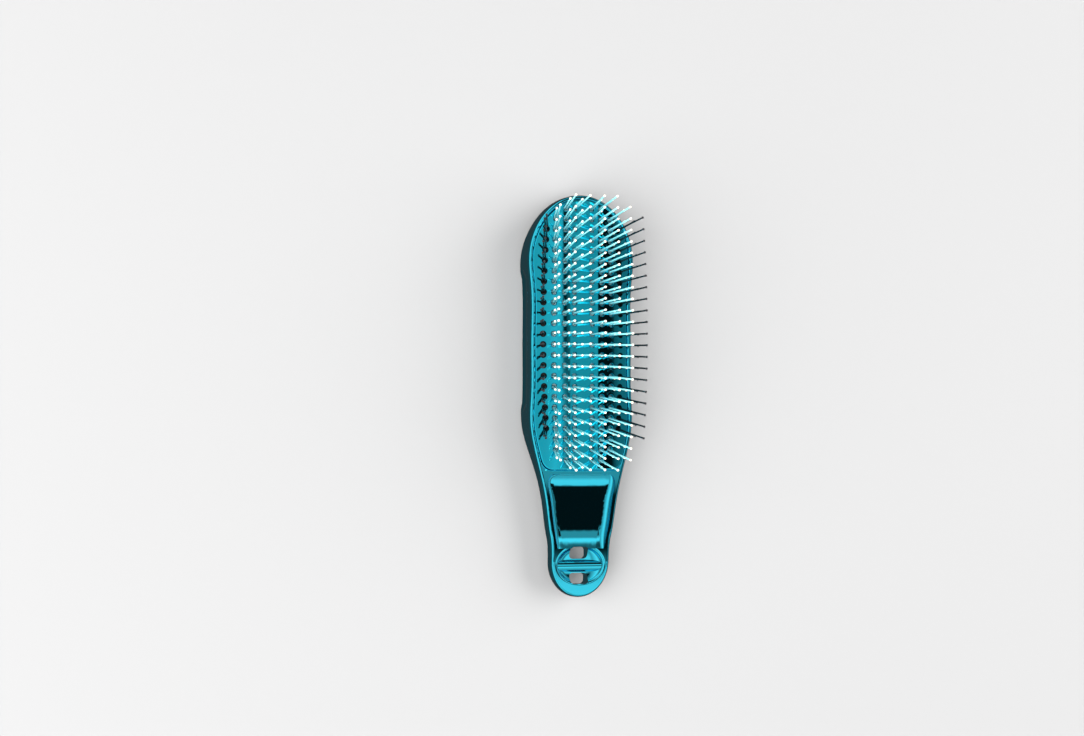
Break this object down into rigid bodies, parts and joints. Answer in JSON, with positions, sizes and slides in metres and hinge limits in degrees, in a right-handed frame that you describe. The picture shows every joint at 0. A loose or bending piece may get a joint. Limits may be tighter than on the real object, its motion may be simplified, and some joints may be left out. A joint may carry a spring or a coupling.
{
  "type": "scalp brush",
  "caption": "Hand-held scalp brush with a plated teal body, a crowned plate of ball-tipped pins that sway in their holes, and a short handle with a strap bar.",
  "frame": {"origin": "on the flat rest face of the back, under the middle of the pin field", "axes": "+X across the brush to the right seen from the pins, +Y along it to the head end, +Z out of the pin side"},
  "size_m": [0.0476, 0.1701, 0.0339],
  "materials": {
    "plated_body": "vacuum-plated and tinted, mirror gloss",
    "plated_face": "vacuum-plated and tinted, mirror gloss",
    "clear_pins": "moulded clear nylon with pale ball tips",
    "dark_pins": "moulded smoke nylon",
    "cushion_elastomer": "matt sheet",
    "inner_plastic": "as moulded",
    "screw_steel": "zinc plated"
  },
  "bodies": {
    "housing": {"front_shell": "plated_body", "back_shell": "plated_body", "face_plate": "plated_face", "cushion_sheet": "cushion_elastomer", "rail_carrier": "inner_plastic", "carrier_screws": "screw_steel"},
    "pin_row_1": {"pin_rail_1": "inner_plastic", "long_pins_1": "dark_pins", "short_pins_1": "dark_pins"},
    "pin_row_2": {"pin_rail_2": "inner_plastic", "long_pins_2": "clear_pins", "short_pins_2": "clear_pins"},
    "pin_row_3": {"pin_rail_3": "inner_plastic", "long_pins_3": "clear_pins", "short_pins_3": "clear_pins"},
    "pin_row_4": {"pin_rail_4": "inner_plastic", "long_pins_4": "clear_pins", "short_pins_4": "clear_pins"},
    "pin_row_5": {"pin_rail_5": "inner_plastic", "long_pins_5": "clear_pins", "short_pins_5": "clear_pins"},
    "pin_row_6": {"pin_rail_6": "inner_plastic", "long_pins_6": "clear_pins", "short_pins_6": "clear_pins"},
    "pin_row_7": {"pin_rail_7": "inner_plastic", "long_pins_7": "clear_pins", "short_pins_7": "clear_pins"},
    "pin_row_8": {"pin_rail_8": "inner_plastic", "long_pins_8": "dark_pins", "short_pins_8": "dark_pins"}
  },
  "joints": [
    {"name": "pin_row_1_sway", "type": "hinge", "parent": "housing", "child": "pin_row_1", "pos_m": [-0.01615, 0, 0.01211], "axis": [0, 1, 0], "range_deg": [-3, 3], "stiffness_Nm_per_rad": 0.03},
    {"name": "pin_row_2_sway", "type": "hinge", "parent": "housing", "child": "pin_row_2", "pos_m": [-0.01213, 0, 0.01295], "axis": [0, 1, 0], "range_deg": [-3, 3], "stiffness_Nm_per_rad": 0.03},
    {"name": "pin_row_3_sway", "type": "hinge", "parent": "housing", "child": "pin_row_3", "pos_m": [-0.00784, 0, 0.01361], "axis": [0, 1, 0], "range_deg": [-3, 3], "stiffness_Nm_per_rad": 0.03},
    {"name": "pin_row_4_sway", "type": "hinge", "parent": "housing", "child": "pin_row_4", "pos_m": [-0.00392, 0, 0.0138], "axis": [0, 1, 0], "range_deg": [-3, 3], "stiffness_Nm_per_rad": 0.03},
    {"name": "pin_row_5_sway", "type": "hinge", "parent": "housing", "child": "pin_row_5", "pos_m": [0.00392, 0, 0.0138], "axis": [0, 1, 0], "range_deg": [-3, 3], "stiffness_Nm_per_rad": 0.03},
    {"name": "pin_row_6_sway", "type": "hinge", "parent": "housing", "child": "pin_row_6", "pos_m": [0.00784, 0, 0.01361], "axis": [0, 1, 0], "range_deg": [-3, 3], "stiffness_Nm_per_rad": 0.03},
    {"name": "pin_row_7_sway", "type": "hinge", "parent": "housing", "child": "pin_row_7", "pos_m": [0.01213, 0, 0.01295], "axis": [0, 1, 0], "range_deg": [-3, 3], "stiffness_Nm_per_rad": 0.03},
    {"name": "pin_row_8_sway", "type": "hinge", "parent": "housing", "child": "pin_row_8", "pos_m": [0.01615, 0, 0.01211], "axis": [0, 1, 0], "range_deg": [-3, 3], "stiffness_Nm_per_rad": 0.03}
  ]
}
